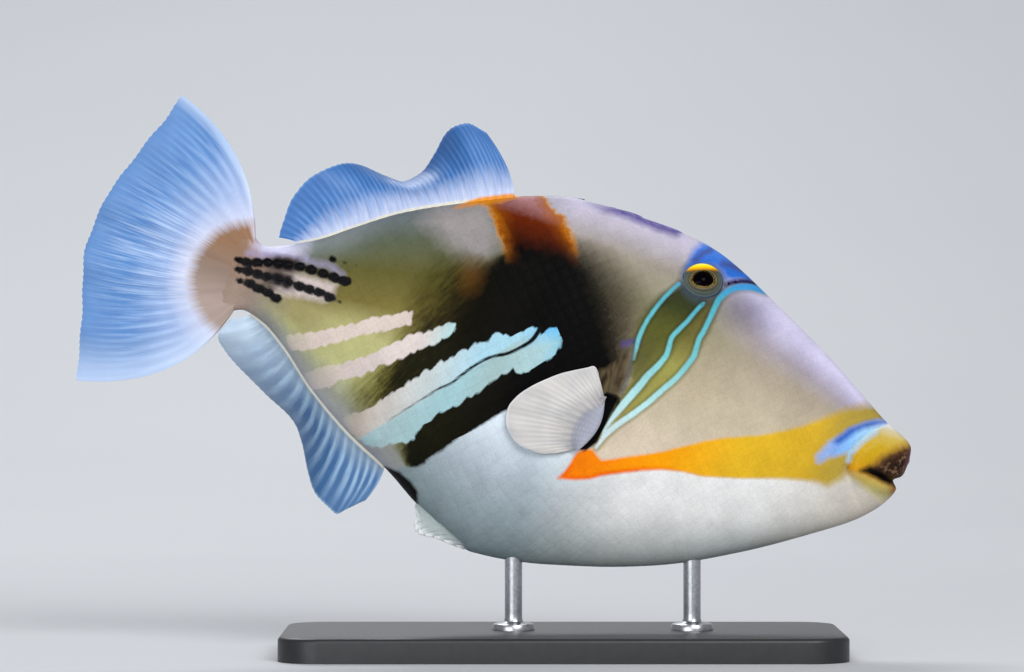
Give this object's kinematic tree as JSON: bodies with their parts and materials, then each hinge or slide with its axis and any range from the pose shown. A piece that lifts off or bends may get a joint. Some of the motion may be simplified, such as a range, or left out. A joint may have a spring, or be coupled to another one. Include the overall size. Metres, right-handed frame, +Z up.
{
  "type": "picasso triggerfish model on a display stand",
  "caption": "Life-size still model of a picasso triggerfish, nose down with waving fins, on a flat base with short rods.",
  "frame": {"origin": "middle of the bounding box's underside, on the floor under the stand", "axes": "+X towards the fish's nose, +Y to the fish's left side, +Z up"},
  "size_m": [0.2391, 0.078, 0.1601],
  "materials": {
    "skin_head": "satin fish skin, beige and white with an orange stripe",
    "skin_lips": "satin, yellow lips with brown edges",
    "eye": "glossy eye, dark with a golden ring",
    "skin_trunk": "satin scaled skin, dark above with pale slanting bars, white below",
    "skin_tail_stalk": "satin scaled skin with rows of dark spines",
    "fin_membrane": "thin pale blue-white membrane over soft rays",
    "spine": "rough bony spines, violet grey",
    "skin_pelvic_flap": "rough white scales",
    "stand_base": "satin black",
    "stand_rod": "brushed"
  },
  "bodies": {
    "root": {"head": "skin_head", "lip_upper": "skin_lips", "lip_lower": "skin_lips", "eye_left": "eye", "eye_right": "eye", "trunk": "skin_trunk", "tail_stalk": "skin_tail_stalk", "tail_fin": "fin_membrane", "dorsal_fin": "fin_membrane", "anal_fin": "fin_membrane", "pectoral_fin_left": "fin_membrane", "pectoral_fin_right": "fin_membrane", "trigger_spines": "spine", "pelvic_flap": "skin_pelvic_flap", "stand_base": "stand_base", "stand_rod_front": "stand_rod", "stand_rod_rear": "stand_rod"}
  },
  "joints": []
}
